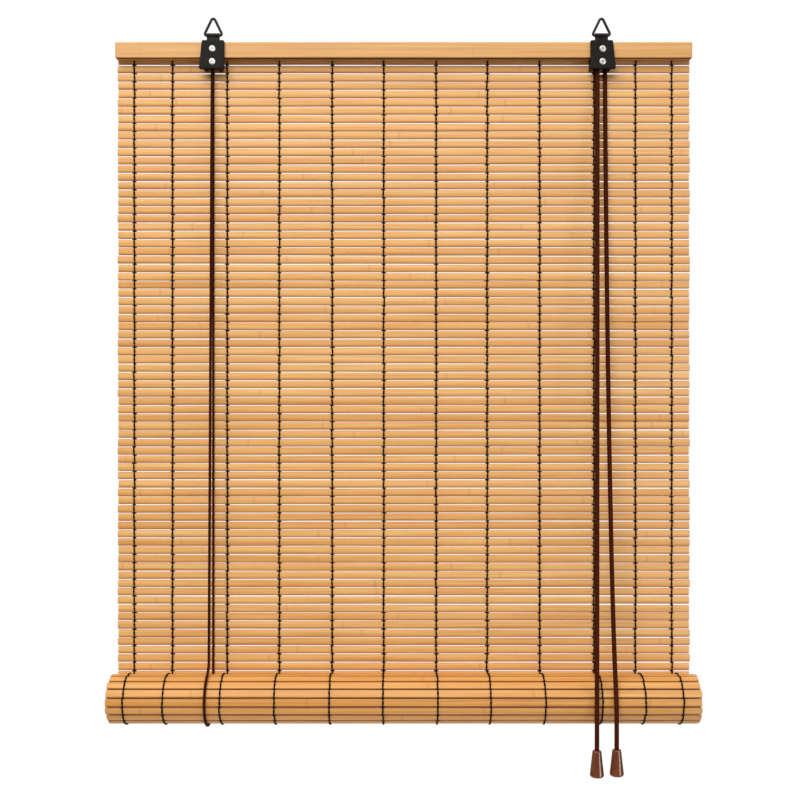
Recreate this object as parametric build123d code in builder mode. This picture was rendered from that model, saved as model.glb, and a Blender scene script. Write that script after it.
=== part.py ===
import os
from math import cos, degrees, hypot, pi, radians, sin, tan

from build123d import *

# A roll up blind of bamboo slats, in millimetres. It hangs by two wire rings. The origin is on the line
# through the eyes of both rings, in the middle of the blind. X runs along the slats, -Y is the front.

os.makedirs("parts", exist_ok=True)

# Slats and the threads that tie them
blind_width = 600
slat_width = 7.45
slat_gap = 1.25
slat_thickness = 1.8
slat_edge_radius = 0.5
hanging_rows = 77
thread_width = 1.4
thread_thickness = 0.5
thread_places = [-282.5, -242.5, -185, -130.5, -75, -21, 34, 87.5, 142.5, 199.5, 243, 281]

# Roll at the bottom
roll_radius = 25.8
turn_clearance = 0.01
outer_turn_end = radians(335)
bar_depth = 13
bar_height = 7
bar_edge_radius = 1.5

# Head rail
rail_height = 16.6
rail_depth = 10
rail_edge_radius = 1.2
rail_drop = 22.1
top_row_drop = 7.85
nail_radius = 0.6
nail_head_radius = 1.5
nail_head_thickness = 0.5
nail_depth = 3.5
nail_count = 8
nail_spacing = 73

# Wire rings and the straps that hold them
wire_radius = 1.35
ring_height = 17.2
ring_apex_half_angle = radians(25.8)
ring_apex_radius = 2.2
ring_base_radius = 1.8
ring_clearance = 0.08
strap_width = 13.4
strap_thickness = 0.8
strap_leg = 18.9
strap_offset = 0.8

# Bracket covers and housings
left_screw_x = -198.5
right_screw_x = 206
cover_thickness = 3.4
cover_rise = 0.9
cover_below_rail = 12
cover_inner = 12.4
cover_outer_top = 10.8
cover_outer_bottom = 14
cover_corner_radius = 1.6
cover_edge_radius = 0.7
recess_clearance = 0.15
housing_web = 1.6
housing_above_cover_edge = 0.5
housing_panel_gap = 0.3
housing_edge_radius = 1
left_cheek = 4
left_cavity_inner = 5.7
left_cavity_outer = 5.9
right_cheek = 1.1
right_cavity_inner = 11.1
right_cavity_outer = 8.4

# Screws
screw_radius = 1.2
head_radius = 3.65
head_height = 1.7
head_seat_radius = 4.2
head_seat_depth = 0.6
cross_width = 0.8
cross_length = 3
cross_depth = 0.9
upper_screw_drop = 8.2
lower_screw_below_rail = 4.8
upper_screw_in_wood = 5.2

# Cords and their wheels
lift_cord_diameter = 2.8
stay_cord_diameter = 2.3
pull_cord_diameter = 4.6
cord_clearance = 0.2
wheel_groove_clearance = 0.05
wheel_width = 3.6
wheel_flange = 0.8
run_wheel_radius = 3
run_pin_radius = 0.75
sling_wheel_radius = 4.6
spacer_wall = 1
pin_clearance = 0.05
pin_collar = 0.5
pin_head_thickness = 0.4
groove_width = 4
groove_end = 4.8
left_lift_x = -200
stay_cord_x = -199.6
left_pull_x = 202
right_back_x = 203
right_front_x = 193
back_strand_top = 24
left_splice_below_rail = 9
right_splice_below_rail = 10.4
wrap_clearance = 0.65
left_pull_end_x = 192.2
left_pull_bend_drop = 4
right_pull_end_x = 212.6
right_rest_rise = 2.9
right_hang_drop = 19
roll_top_clearance = 5.2
roll_front_rise = 8
roll_top_bend = 14
free_bend = 60
housing_reach = 6
nip_rise = 10
# How far down the right pull cord each point of its curve lies, and how far forward, as shares of the whole
right_pull_curve = [
    (0.09, 0.022),
    (0.18, 0.053),
    (0.275, 0.098),
    (0.37, 0.151),
    (0.46, 0.212),
    (0.555, 0.290),
    (0.645, 0.377),
    (0.74, 0.485),
    (0.83, 0.608),
    (0.91, 0.751),
    (0.965, 0.888),
    (1, 1),
]
clip_thickness = 0.8
clip_height = 3
clip_flange = 0.5

# Toggles
toggle_length = 26.4
toggle_top_radius = 4.3
toggle_bottom_radius = 7.2
toggle_bore_radius = 2.4
toggle_socket_radius = 4.7
toggle_socket_depth = 11
toggle_top_fillet = 1.5
toggle_bottom_fillet = 2.2
toggle_below_roll = 43.25
knot_radius = 3.9
knot_length = 5
knot_edge_radius = 1.6

# Places that follow from the sizes
slat_pitch = slat_width + slat_gap
rail_top_z = -rail_drop
rail_bottom_z = rail_top_z - rail_height
rail_front_y = strap_thickness
rail_back_y = rail_front_y + rail_depth
panel_front_y = rail_back_y + thread_thickness
panel_back_y = panel_front_y + slat_thickness
panel_middle_y = (panel_front_y + panel_back_y) / 2
top_row_z = rail_top_z - top_row_drop
roll_axis_z = top_row_z - hanging_rows * slat_pitch
roll_axis_y = panel_back_y - roll_radius
bar_corner = hypot(bar_depth / 2, bar_height / 2) - bar_edge_radius * (2**0.5 - 1)
ring_base_z = wire_radius - ring_height
cover_top_z = rail_top_z + cover_rise
cover_bottom_z = rail_bottom_z - cover_below_rail
housing_bottom_z = cover_bottom_z + housing_above_cover_edge
housing_back_y = panel_front_y - housing_panel_gap
web_back_y = rail_front_y + housing_web
upper_screw_z = rail_top_z - upper_screw_drop
lower_screw_z = rail_bottom_z - lower_screw_below_rail
lift_radius = lift_cord_diameter / 2
pull_radius = pull_cord_diameter / 2
run_y = web_back_y + cord_clearance + pull_radius
sling_y = run_y + pull_radius + 2 * cord_clearance + lift_radius
run_z = rail_bottom_z + lift_radius + 1.5 * cord_clearance
groove_depth = run_z + lift_radius + 1.5 * cord_clearance - rail_bottom_z
run_wheel_z = run_z - run_wheel_radius
left_wheel_x = left_lift_x + run_wheel_radius
right_wheel_x = left_pull_x - run_wheel_radius
right_sling_x = right_screw_x - sling_wheel_radius
right_pull_x = right_screw_x + sling_wheel_radius
sling_top_z = lower_screw_z + sling_wheel_radius
sling_front_y = sling_y - wheel_width / 2 - pin_clearance
sling_back_y = sling_y + wheel_width / 2 + pin_clearance
left_splice_z = rail_bottom_z - left_splice_below_rail
right_splice_z = rail_bottom_z - right_splice_below_rail
strap_legs = 2 * strap_thickness
screw_places = {"left": left_screw_x, "right": right_screw_x}
outward = {"left": -1, "right": 1}


def roll_slots():
    # The angle and the distance from the roll's axis of each rolled slat's middle, from the outside in
    slots = []
    angle = 0
    reach = roll_radius - slat_thickness / 2
    while reach > bar_corner + slat_thickness / 2 + cord_clearance:
        slots.append((angle, reach))
        step = slat_pitch / reach
        corner_rise = (slat_width / 2) ** 2 / (2 * reach)
        turn_depth = slat_thickness + thread_thickness + corner_rise + turn_clearance
        angle += step
        reach -= turn_depth * step / (2 * pi)
    return slots


rolled_slots = roll_slots()
outer_slots = [slot for slot in rolled_slots if slot[0] < outer_turn_end]


def slot_place(slot):
    # A slot's middle in the roll's section, with its turn in degrees
    angle, reach = slot
    place = (roll_axis_y + reach * cos(angle), roll_axis_z - reach * sin(angle))
    return place, -degrees(angle)


def save(builder, name):
    builder.part.label = name
    export_step(builder.part, f"parts/{name}.step")


# Head rail, with a groove in its underside for the cord that crosses from bracket to bracket
with BuildPart() as head_rail:
    with BuildSketch(Plane.YZ.offset(-blind_width / 2)):
        with Locations(((rail_front_y + rail_back_y) / 2, (rail_top_z + rail_bottom_z) / 2)):
            Rectangle(rail_depth, rail_height)
    extrude(amount=blind_width)
    fillet(head_rail.edges(), rail_edge_radius)
    with BuildSketch(Plane.XY.offset(rail_bottom_z)):
        with Locations(((left_wheel_x + right_wheel_x) / 2, run_y)):
            Rectangle(right_wheel_x - left_wheel_x + 2 * groove_end, groove_width)
    extrude(amount=groove_depth, mode=Mode.SUBTRACT)
    with BuildSketch(Plane.XY.offset(rail_bottom_z)):
        with Locations((right_screw_x, sling_y - wheel_width / 2)):
            Rectangle(
                2 * (sling_wheel_radius + lift_radius + cord_clearance),
                rail_depth,
                align=(Align.CENTER, Align.MIN),
            )
    extrude(amount=sling_top_z + lift_radius + cord_clearance - rail_bottom_z, mode=Mode.SUBTRACT)
    with BuildSketch(Plane.XZ.offset(-rail_front_y)):
        with Locations(*[(x, upper_screw_z) for x in screw_places.values()]):
            Circle(screw_radius)
    extrude(amount=-upper_screw_in_wood, mode=Mode.SUBTRACT)
    with BuildSketch(Plane.XZ.offset(-rail_back_y)):
        with Locations((0, top_row_z)):
            with GridLocations(nail_spacing, 1, nail_count, 1):
                Circle(nail_radius)
    extrude(amount=nail_depth, mode=Mode.SUBTRACT)
save(head_rail, "head_rail")

# Slats of the hanging part; the two at the top lie behind the rail and take its nails
with BuildPart() as hanging_slats:
    with BuildSketch(Plane.YZ.offset(-blind_width / 2)):
        with Locations((panel_middle_y, top_row_z - (hanging_rows - 1) * slat_pitch / 2)):
            with GridLocations(1, slat_pitch, 1, hanging_rows):
                RectangleRounded(slat_thickness, slat_width, slat_edge_radius)
    extrude(amount=blind_width)
    with BuildSketch(Plane.XZ.offset(-panel_back_y)):
        with Locations((0, top_row_z)):
            with GridLocations(nail_spacing, 1, nail_count, 1):
                Circle(nail_radius)
    extrude(amount=slat_thickness, mode=Mode.SUBTRACT)
save(hanging_slats, "hanging_slats")

# The same slats wound towards the front, each one flat, on a spiral
with BuildPart() as rolled_slats:
    with BuildSketch(Plane.YZ.offset(-blind_width / 2)):
        for slot in rolled_slots:
            place, turn = slot_place(slot)
            with Locations(place):
                RectangleRounded(slat_thickness, slat_width, slat_edge_radius, rotation=turn)
    extrude(amount=blind_width)
save(rolled_slats, "rolled_slats")

with BuildPart() as bottom_bar:
    with BuildSketch(Plane.YZ.offset(-blind_width / 2)):
        with Locations((roll_axis_y, roll_axis_z)):
            RectangleRounded(bar_depth, bar_height, bar_edge_radius)
    extrude(amount=blind_width)
save(bottom_bar, "bottom_bar")

# A warp thread's two strands, joined in each gap between slats, down the panel and round the outer turn
with BuildSketch() as weave:
    strip_top_z = top_row_z + slat_pitch / 2
    strip_height = hanging_rows * slat_pitch
    with Locations((panel_middle_y, strip_top_z - strip_height / 2)):
        Rectangle(slat_thickness + 2 * thread_thickness, strip_height)
    for slot in outer_slots:
        place, turn = slot_place(slot)
        side = 2 * (slot[1] + slat_thickness / 2 + thread_thickness) * tan(slat_pitch / slot[1] / 2)
        with Locations(place):
            Rectangle(slat_thickness + 2 * thread_thickness, side, rotation=turn)
    with Locations((panel_middle_y, top_row_z - (hanging_rows - 1) * slat_pitch / 2)):
        with GridLocations(1, slat_pitch, 1, hanging_rows):
            Rectangle(slat_thickness, slat_width, mode=Mode.SUBTRACT)
    for slot in outer_slots:
        place, turn = slot_place(slot)
        with Locations(place):
            Rectangle(slat_thickness, slat_width, rotation=turn, mode=Mode.SUBTRACT)

for number, thread_x in enumerate(thread_places, 1):
    with BuildPart() as warp_thread:
        with BuildSketch(Plane.YZ.offset(thread_x - thread_width / 2)):
            add(weave.sketch)
        extrude(amount=thread_width)
    save(warp_thread, f"warp_thread_{number:02d}")

# Nails through the top slat into the rail
with BuildPart() as panel_nails:
    with BuildSketch(Plane.XZ.offset(-panel_back_y)):
        with Locations((0, top_row_z)):
            with GridLocations(nail_spacing, 1, nail_count, 1):
                Circle(nail_head_radius)
    extrude(amount=-nail_head_thickness)
    with BuildSketch(Plane.XZ.offset(-panel_back_y)):
        with Locations((0, top_row_z)):
            with GridLocations(nail_spacing, 1, nail_count, 1):
                Circle(nail_radius)
    extrude(amount=panel_back_y - rail_back_y + nail_depth)
save(panel_nails, "panel_nails")


def make_ring(x):
    # A wire bent to a triangle that stands on its base
    vertex_height = ring_height + ring_apex_radius * (1 / sin(ring_apex_half_angle) - 1)
    half_base = vertex_height * tan(ring_apex_half_angle)
    with BuildPart() as ring:
        with BuildLine():
            FilletPolyline(
                (x - half_base, 0, ring_base_z),
                (x, 0, ring_base_z + vertex_height),
                (x + half_base, 0, ring_base_z),
                radius=[ring_base_radius, ring_apex_radius, ring_base_radius],
                close=True,
            )
        with BuildSketch(Plane.YZ.offset(x)):
            with Locations((0, ring_base_z)):
                Circle(wire_radius)
        sweep()
    return ring


def make_strap(x, screw_x):
    # A strip folded round the ring's base, both legs between the cover and the rail
    eye_radius = wire_radius + ring_clearance
    with BuildPart() as strap:
        with BuildSketch(Plane.YZ.offset(x - strap_width / 2)):
            with Locations((0, ring_base_z - strap_leg / 2)):
                Rectangle(strap_legs, strap_leg)
            with Locations((0, ring_base_z)):
                Circle(eye_radius + strap_thickness)
                Circle(eye_radius, mode=Mode.SUBTRACT)
        extrude(amount=strap_width)
        with BuildSketch(Plane.XZ.offset(-strap_thickness)):
            with Locations((screw_x, upper_screw_z)):
                Circle(screw_radius)
        extrude(amount=strap_legs, mode=Mode.SUBTRACT)
    return strap


def cover_outline(screw_x, side):
    return [
        (screw_x - side * cover_inner, cover_top_z),
        (screw_x + side * cover_outer_top, cover_top_z),
        (screw_x + side * cover_outer_bottom, cover_bottom_z),
        (screw_x - side * cover_inner, cover_bottom_z),
    ]


def make_cover(screw_x, side, strap_x):
    cover_front_y = rail_front_y - cover_thickness
    recess_bottom_z = ring_base_z - strap_leg - recess_clearance
    with BuildPart() as cover:
        with BuildSketch(Plane.XZ.offset(-rail_front_y)) as face:
            with BuildLine():
                Polyline(*cover_outline(screw_x, side), close=True)
            make_face()
            fillet(face.vertices(), cover_corner_radius)
        extrude(amount=cover_thickness)
        fillet(cover.faces().sort_by(Axis.Y)[0].edges(), cover_edge_radius)
        with BuildSketch(Plane.XZ.offset(-rail_front_y)):
            with Locations((strap_x, (cover_top_z + recess_bottom_z) / 2)):
                Rectangle(strap_width + 2 * recess_clearance, cover_top_z - recess_bottom_z)
        extrude(amount=strap_legs, mode=Mode.SUBTRACT)
        with BuildSketch(Plane.XZ.offset(-cover_front_y)):
            with Locations((screw_x, upper_screw_z), (screw_x, lower_screw_z)):
                Circle(head_seat_radius)
        extrude(amount=-head_seat_depth, mode=Mode.SUBTRACT)
        with BuildSketch(Plane.XZ.offset(-rail_front_y)):
            with Locations((screw_x, upper_screw_z), (screw_x, lower_screw_z)):
                Circle(screw_radius)
        extrude(amount=cover_thickness, mode=Mode.SUBTRACT)
    return cover


def make_housing(screw_x, pin_x, cavity_low, cavity_high, cheek):
    # A web behind the cover and two cheeks that reach back to the slats, open below and behind
    with BuildPart() as housing:
        with BuildSketch(Plane.XY.offset(housing_bottom_z)):
            with Locations(((cavity_low + cavity_high) / 2, rail_front_y)):
                Rectangle(
                    cavity_high - cavity_low + 2 * cheek,
                    housing_back_y - rail_front_y,
                    align=(Align.CENTER, Align.MIN),
                )
            with Locations(((cavity_low + cavity_high) / 2, web_back_y)):
                Rectangle(
                    cavity_high - cavity_low,
                    housing_back_y - web_back_y,
                    align=(Align.CENTER, Align.MIN),
                    mode=Mode.SUBTRACT,
                )
        extrude(amount=rail_bottom_z - housing_bottom_z)
        outer_edges = housing.edges().filter_by(Axis.Y).group_by(Axis.Z)[0].sort_by(Axis.X)
        fillet([outer_edges[0], outer_edges[-1]], min(housing_edge_radius, 0.9 * cheek))
        with BuildSketch(Plane.XZ.offset(-rail_front_y)):
            with Locations((screw_x, lower_screw_z)):
                Circle(screw_radius)
        extrude(amount=-housing_web, mode=Mode.SUBTRACT)
        with BuildSketch(Plane.XZ.offset(-rail_front_y)):
            with Locations((pin_x, run_wheel_z)):
                Circle(run_pin_radius)
        extrude(amount=-housing_web, mode=Mode.SUBTRACT)
    return housing


def make_screws(screw_x, lower_end_y):
    # Two screws with domed heads and a cross. The lower one ends in the web, or is a wheel's axle.
    seat_y = rail_front_y - cover_thickness + head_seat_depth
    with BuildPart() as screws:
        with BuildSketch(Plane.XZ.offset(-seat_y)):
            with Locations((screw_x, upper_screw_z), (screw_x, lower_screw_z)):
                Circle(head_radius)
        extrude(amount=head_height)
        front_rims = screws.faces().group_by(Axis.Y)[0].edges()
        fillet(front_rims, 0.8 * head_height)
        with BuildSketch(Plane.XZ.offset(head_height - seat_y)):
            with Locations((screw_x, upper_screw_z), (screw_x, lower_screw_z)):
                Rectangle(cross_length, cross_width)
                Rectangle(cross_width, cross_length)
        extrude(amount=-cross_depth, mode=Mode.SUBTRACT)
        with BuildSketch(Plane.XZ.offset(-seat_y)):
            with Locations((screw_x, upper_screw_z)):
                Circle(screw_radius)
        extrude(amount=-(rail_front_y + upper_screw_in_wood - seat_y))
        with BuildSketch(Plane.XZ.offset(-seat_y)):
            with Locations((screw_x, lower_screw_z)):
                Circle(screw_radius)
        extrude(amount=-(lower_end_y - seat_y))
    return screws


def make_wheel(x, y, z, pitch_radius, pin_radius):
    # The groove has a round bottom and straight sides, as wide as the cord
    groove_radius = lift_radius + wheel_groove_clearance
    with BuildPart() as wheel:
        with BuildSketch(Plane.XZ.offset(-y - wheel_width / 2)):
            with Locations((x, z)):
                Circle(pitch_radius + wheel_flange)
                Circle(pin_radius + pin_clearance, mode=Mode.SUBTRACT)
        extrude(amount=wheel_width)
        with BuildSketch(Plane.XZ.offset(-y)):
            with Locations((x, z)):
                Circle(pitch_radius + 2 * wheel_flange)
                Circle(pitch_radius, mode=Mode.SUBTRACT)
        extrude(amount=groove_radius, both=True, mode=Mode.SUBTRACT)
        with Locations(Plane.XZ.offset(-y).location * Location((x, z, 0))):
            Torus(pitch_radius, groove_radius, mode=Mode.SUBTRACT)
    return wheel


def make_pin(x, y, z, radius):
    # Pressed into the web, with a collar in front of its wheel and a head behind it
    front_y = y - wheel_width / 2 - pin_clearance
    back_y = y + wheel_width / 2 + pin_clearance
    with BuildPart() as pin:
        with BuildSketch(Plane.XZ.offset(-back_y)):
            with Locations((x, z)):
                Circle(radius)
        extrude(amount=back_y - rail_front_y)
        with BuildSketch(Plane.XZ.offset(-front_y)):
            with Locations((x, z)):
                Circle(radius + pin_collar)
        extrude(amount=front_y - web_back_y)
        with BuildSketch(Plane.XZ.offset(-back_y)):
            with Locations((x, z)):
                Circle(radius + pin_collar)
        extrude(amount=-pin_head_thickness)
    return pin


# Wheels for the cord that crosses along the rail, on pins, one in each housing
wheel_places = {"left": left_wheel_x, "right": right_wheel_x}
for end, x in wheel_places.items():
    wheel = make_wheel(x, run_y, run_wheel_z, run_wheel_radius, run_pin_radius)
    save(wheel, f"{end}_cord_wheel")
    save(make_pin(x, run_y, run_wheel_z, run_pin_radius), f"{end}_wheel_pin")

# The right lift cord's wheel turns on the right bracket's lower screw, between a spacer and a nut
sling_wheel = make_wheel(right_screw_x, sling_y, lower_screw_z, sling_wheel_radius, screw_radius)
save(sling_wheel, "sling_wheel")
with BuildPart() as wheel_spacer:
    with BuildSketch(Plane.XZ.offset(-sling_front_y)):
        with Locations((right_screw_x, lower_screw_z)):
            Circle(screw_radius + spacer_wall)
            Circle(screw_radius, mode=Mode.SUBTRACT)
    extrude(amount=sling_front_y - web_back_y)
save(wheel_spacer, "wheel_spacer")
with BuildPart() as wheel_nut:
    with BuildSketch(Plane.XZ.offset(-sling_back_y)):
        with Locations((right_screw_x, lower_screw_z)):
            RegularPolygon(screw_radius + spacer_wall, 6)
            Circle(screw_radius, mode=Mode.SUBTRACT)
    extrude(amount=-pin_head_thickness)
save(wheel_nut, "wheel_nut")

screw_ends = {"left": web_back_y, "right": sling_back_y + pin_head_thickness}
housings = {
    "left": (left_screw_x - left_cavity_outer, left_screw_x + left_cavity_inner, left_cheek),
    "right": (right_screw_x - right_cavity_inner, right_screw_x + right_cavity_outer, right_cheek),
}
for end, screw_x in screw_places.items():
    side = outward[end]
    strap_x = screw_x - side * strap_offset
    save(make_ring(strap_x), f"{end}_ring")
    save(make_strap(strap_x, screw_x), f"{end}_strap")
    save(make_cover(screw_x, side, strap_x), f"{end}_cover")
    save(make_housing(screw_x, wheel_places[end], *housings[end]), f"{end}_housing")
    save(make_screws(screw_x, screw_ends[end]), f"{end}_screws")


def run_out_radii(route):
    # The largest arc for each corner of a free cord that leaves both of its runs some straight length
    radii = []
    for before, here, after in zip(route, route[1:], route[2:]):
        run_in = Vector(here) - Vector(before)
        run_out = Vector(after) - Vector(here)
        half_turn = radians(run_in.get_angle(run_out)) / 2
        radii.append(0.45 * min(run_in.length, run_out.length) / tan(half_turn))
    return radii


def make_cord(route, corner_radii, diameter):
    with BuildPart() as cord:
        with BuildLine() as path:
            FilletPolyline(*route, radius=corner_radii)
        with BuildSketch(Plane(origin=path.line @ 0, z_dir=path.line % 0)):
            Circle(diameter / 2)
        sweep()
    length = sum(edge.length for edge in path.edges())
    fill = cord.part.volume / (pi * diameter**2 / 4 * length)
    print(f"cord {length:.1f} long, volume over section times length {fill:.4f}")
    print("  radii", [round(radius, 1) for radius in corner_radii])
    return cord


# Both lift cords pass under the roll. The roll narrows as it turns, so its lower half has its own centre.
turn_loss = slat_thickness + thread_thickness + turn_clearance + (slat_width / 2) ** 2 / (2 * roll_radius)
wrap_y = roll_axis_y + turn_loss / 4
wrap_radius = roll_radius - turn_loss / 4 + lift_radius + wrap_clearance
wrap_corner = wrap_radius * tan(radians(30))
arc_share = 0.99
back_y = wrap_y + wrap_radius
front_y = wrap_y - wrap_radius
under_z = roll_axis_z - wrap_radius / cos(radians(30))


def under_roll(back_x, front_x):
    # Three corners of a hexagon round the roll, so that each arc turns a sixth of the way round
    return [
        (back_x, back_y, roll_axis_z - wrap_corner),
        ((back_x + front_x) / 2, wrap_y, under_z),
        (front_x, front_y, roll_axis_z - wrap_corner),
    ]


# Left: up the roll's front, over its top, up to the bracket, across in the rail's groove, down on the right
left_top = (left_lift_x, roll_axis_y, roll_axis_z + roll_radius + roll_top_clearance)
left_lift_route = [
    (left_lift_x, back_y, -back_strand_top),
    *under_roll(left_lift_x, left_lift_x),
    (left_lift_x, front_y, roll_axis_z + wrap_corner),
    left_top,
    (left_lift_x, run_y, housing_bottom_z - housing_reach),
    (left_lift_x, run_y, run_z),
    (left_pull_x, run_y, run_z),
    (left_pull_x, run_y, left_splice_z),
]
wrap_arc = arc_share * wrap_radius
wheel_arc = arc_share * run_wheel_radius
left_lift_radii = [wrap_arc] * 4 + [roll_top_bend, free_bend, wheel_arc, wheel_arc]
save(make_cord(left_lift_route, left_lift_radii, lift_cord_diameter), "left_lift_cord")

# Right: aslant under the roll, straight up to the bracket, over the sling wheel and down
right_lift_route = [
    (right_back_x, back_y, -back_strand_top),
    *under_roll(right_back_x, right_front_x),
    (right_front_x, front_y, roll_axis_z + roll_front_rise),
    (right_sling_x, sling_y, housing_bottom_z - housing_reach / 2),
    (right_sling_x, sling_y, sling_top_z),
    (right_pull_x, sling_y, sling_top_z),
    (right_pull_x, sling_y, right_splice_z),
]
sling_arc = arc_share * sling_wheel_radius
right_lift_radii = [wrap_arc] * 3 + [free_bend, free_bend, sling_arc, sling_arc]
save(make_cord(right_lift_route, right_lift_radii, lift_cord_diameter), "right_lift_cord")

# A thinner cord on the front of the slats, from the left housing down into the nip behind the roll
stay_y = panel_front_y - stay_cord_diameter / 2 - cord_clearance / 4
with BuildPart() as left_stay_cord:
    with BuildSketch(Plane.XY.offset(roll_axis_z + nip_rise)):
        with Locations((stay_cord_x, stay_y)):
            Circle(stay_cord_diameter / 2)
    extrude(amount=housing_bottom_z + housing_reach - roll_axis_z - nip_rise)
save(left_stay_cord, "left_stay_cord")

# Clips over the top ends of both back strands
with BuildPart() as cord_clips:
    with BuildSketch(Plane.XY.offset(top_row_z - clip_height / 2)):
        for x in (left_lift_x, right_back_x):
            with Locations((x, back_y)):
                Circle(lift_radius + clip_thickness)
            with Locations((x, panel_back_y)):
                Rectangle(
                    2 * (lift_radius + clip_thickness),
                    back_y - panel_back_y,
                    align=(Align.CENTER, Align.MIN),
                )
                Rectangle(
                    2 * (lift_radius + clip_thickness + clip_flange),
                    clip_thickness,
                    align=(Align.CENTER, Align.MIN),
                )
            with Locations((x, back_y)):
                Circle(lift_radius, mode=Mode.SUBTRACT)
            with Locations((x, panel_back_y)):
                Rectangle(
                    lift_cord_diameter,
                    back_y - panel_back_y,
                    align=(Align.CENTER, Align.MIN),
                    mode=Mode.SUBTRACT,
                )
                Rectangle(
                    blind_width / 10,
                    lift_cord_diameter,
                    align=(Align.CENTER, Align.MAX),
                    mode=Mode.SUBTRACT,
                )
    extrude(amount=clip_height)
save(cord_clips, "cord_clips")

# Pull cords hang from the splices in the right housing. The left one lies over the right lift cord, the
# right one leans on the roll.
toggle_top_z = roll_axis_z - toggle_below_roll
toggle_socket_z = toggle_top_z - toggle_length + toggle_socket_depth
roll_front_y = front_y - lift_radius
left_pull_y = roll_front_y - pull_radius - 6 * cord_clearance
left_pull_route = [
    (left_pull_x, run_y, left_splice_z),
    (left_pull_end_x + (left_pull_x - left_pull_end_x) / 50, left_pull_y, roll_axis_z - left_pull_bend_drop),
    (left_pull_end_x, left_pull_y, toggle_socket_z),
]
right_rest_z = roll_axis_z + right_rest_rise
right_rest_y = roll_axis_y - roll_radius * cos(right_rest_rise / roll_radius) - pull_radius + cord_clearance
right_hang_y = roll_axis_y - roll_radius - pull_radius - cord_clearance
right_pull_route = [(right_pull_x, sling_y, right_splice_z)]
for down_share, forward_share in right_pull_curve:
    right_pull_route.append(
        (
            right_pull_x + down_share * (right_pull_end_x - right_pull_x),
            sling_y + forward_share * (right_rest_y - sling_y),
            right_splice_z + down_share * (right_rest_z - right_splice_z),
        )
    )
right_pull_route.append((right_pull_end_x, right_hang_y, roll_axis_z - right_hang_drop))
right_pull_route.append((right_pull_end_x, right_hang_y, toggle_socket_z))
pull_routes = {"left": left_pull_route, "right": right_pull_route}


def make_toggle(x, y):
    # A turned cone with a bore for the cord and a wider socket below for its knot
    with BuildPart() as toggle:
        with BuildSketch(Plane.XZ) as half:
            with BuildLine():
                Polyline(
                    (toggle_bore_radius, 0),
                    (toggle_top_radius, 0),
                    (toggle_bottom_radius, -toggle_length),
                    (toggle_socket_radius, -toggle_length),
                    (toggle_socket_radius, toggle_socket_depth - toggle_length),
                    (toggle_bore_radius, toggle_socket_depth - toggle_length),
                    close=True,
                )
            make_face()
            fillet(half.vertices().group_by(Axis.Y)[-1].sort_by(Axis.X)[-1], toggle_top_fillet)
            fillet(half.vertices().group_by(Axis.Y)[0].sort_by(Axis.X)[-1], toggle_bottom_fillet)
        revolve(axis=Axis.Z)
    toggle.part.locate(Location((x, y, toggle_top_z)))
    return toggle


def make_knot(x, y):
    with BuildPart() as knot:
        with BuildSketch(Plane.XY.offset(toggle_socket_z - knot_length)):
            with Locations((x, y)):
                Circle(knot_radius)
        extrude(amount=knot_length)
        fillet(knot.edges().filter_by(GeomType.CIRCLE).group_by(Axis.Z)[0], knot_edge_radius)
    return knot


for end, route in pull_routes.items():
    end_x, end_y, _ = route[-1]
    cord = make_cord(route, run_out_radii(route), pull_cord_diameter)
    save(cord, f"{end}_pull_cord")
    save(make_toggle(end_x, end_y), f"{end}_toggle")
    save(make_knot(end_x, end_y), f"{end}_pull_knot")
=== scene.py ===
import math

import bpy
import numpy as np
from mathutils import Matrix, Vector


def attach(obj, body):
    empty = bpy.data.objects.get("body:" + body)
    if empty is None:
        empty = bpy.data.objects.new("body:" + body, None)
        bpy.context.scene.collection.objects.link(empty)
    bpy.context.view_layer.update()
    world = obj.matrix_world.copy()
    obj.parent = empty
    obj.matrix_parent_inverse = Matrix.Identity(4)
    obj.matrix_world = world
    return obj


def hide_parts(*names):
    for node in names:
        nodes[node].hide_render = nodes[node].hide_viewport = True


rng = np.random.default_rng(23)
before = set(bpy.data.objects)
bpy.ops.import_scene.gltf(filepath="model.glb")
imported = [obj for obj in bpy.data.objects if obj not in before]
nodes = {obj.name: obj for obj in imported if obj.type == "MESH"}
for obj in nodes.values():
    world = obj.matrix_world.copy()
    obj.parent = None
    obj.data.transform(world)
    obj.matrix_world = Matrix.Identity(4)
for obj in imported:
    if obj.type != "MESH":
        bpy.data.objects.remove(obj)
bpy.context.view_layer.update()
print("frame loaded,", len(nodes), "nodes")

# Sizes that the pieces below share, in metres
blind = {
    "width": 0.6,
    "rows": 77,
    "pitch": 0.0087,
    "topRow": -0.02995,
    "slatWidth": 0.00745,
    "slatThickness": 0.0018,
    "panelY": 0.0122,
    "rollY": -0.0127,
    "rollZ": -0.69985,
    "rollRadius": 0.0258,
    "threadThickness": 0.0005,
    "turnClearance": 0.00001,
    "outerTurnEnd": math.radians(335),
    "barCorner": 0.006761,
    "cordClearance": 0.0002,
}


# Node helpers: one call makes a node, sets it and joins its inputs
def put(tree, kind, sockets=None, **settings):
    node = tree.nodes.new("ShaderNode" + kind)
    for key, value in settings.items():
        setattr(node, key, value)
    for place, value in (sockets or {}).items():
        if isinstance(value, bpy.types.NodeSocket):
            tree.links.new(value, node.inputs[place])
        else:
            node.inputs[place].default_value = value
    return node


def calc(tree, operation, a, b=0.0):
    return put(tree, "Math", {0: a, 1: b}, operation=operation).outputs[0]


def product(tree, a, b):
    return calc(tree, "MULTIPLY", a, b)


def scaled(tree, place, by):
    return put(tree, "VectorMath", {0: place, 1: by}, operation="MULTIPLY").outputs[0]


def between(tree, value, low, high, outLow=0.0, outHigh=1.0):
    sockets = {0: value, 1: low, 2: high, 3: outLow, 4: outHigh}
    return put(tree, "MapRange", sockets, interpolation_type="SMOOTHSTEP").outputs[0]


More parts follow.
